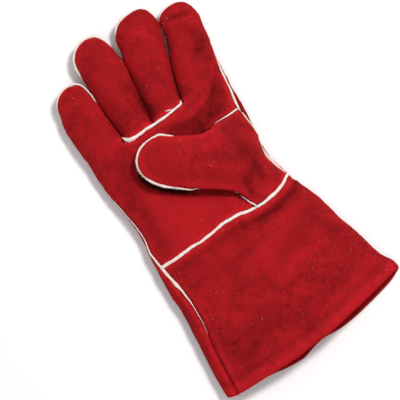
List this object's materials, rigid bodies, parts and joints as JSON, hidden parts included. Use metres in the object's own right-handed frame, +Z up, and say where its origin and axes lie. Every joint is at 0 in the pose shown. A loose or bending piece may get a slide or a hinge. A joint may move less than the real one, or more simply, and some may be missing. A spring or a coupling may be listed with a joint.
{
  "type": "fireplace glove",
  "caption": "Right-hand gauntlet glove of red split leather with pale piping in its seams, lying palm up, open at the flared cuff.",
  "frame": {"origin": "on the surface the glove lies on, under the middle of its bounding box", "axes": "+Y from the cuff to the fingertips, +X to the thumb's side, +Z up out of the palm"},
  "size_m": [0.203, 0.371, 0.0435],
  "materials": {
    "suede": "napped split cowhide, dyed crimson",
    "piping": "undyed leather strip, slightly frayed"
  },
  "bodies": {
    "root": {"palm_panel": "suede", "middle_fingers_front": "suede", "thumb_outer": "suede", "thumb_inner": "suede", "cuff_front": "suede", "back_panel": "suede", "welt_little": "piping", "welt_ring": "piping", "welt_middle": "piping", "welt_index": "piping", "welt_side": "piping", "welt_cuff": "piping", "welt_palm_base": "piping", "welt_thumb": "piping", "welt_thumb_lower": "piping", "welt_thumb_upper": "piping"}
  },
  "joints": []
}
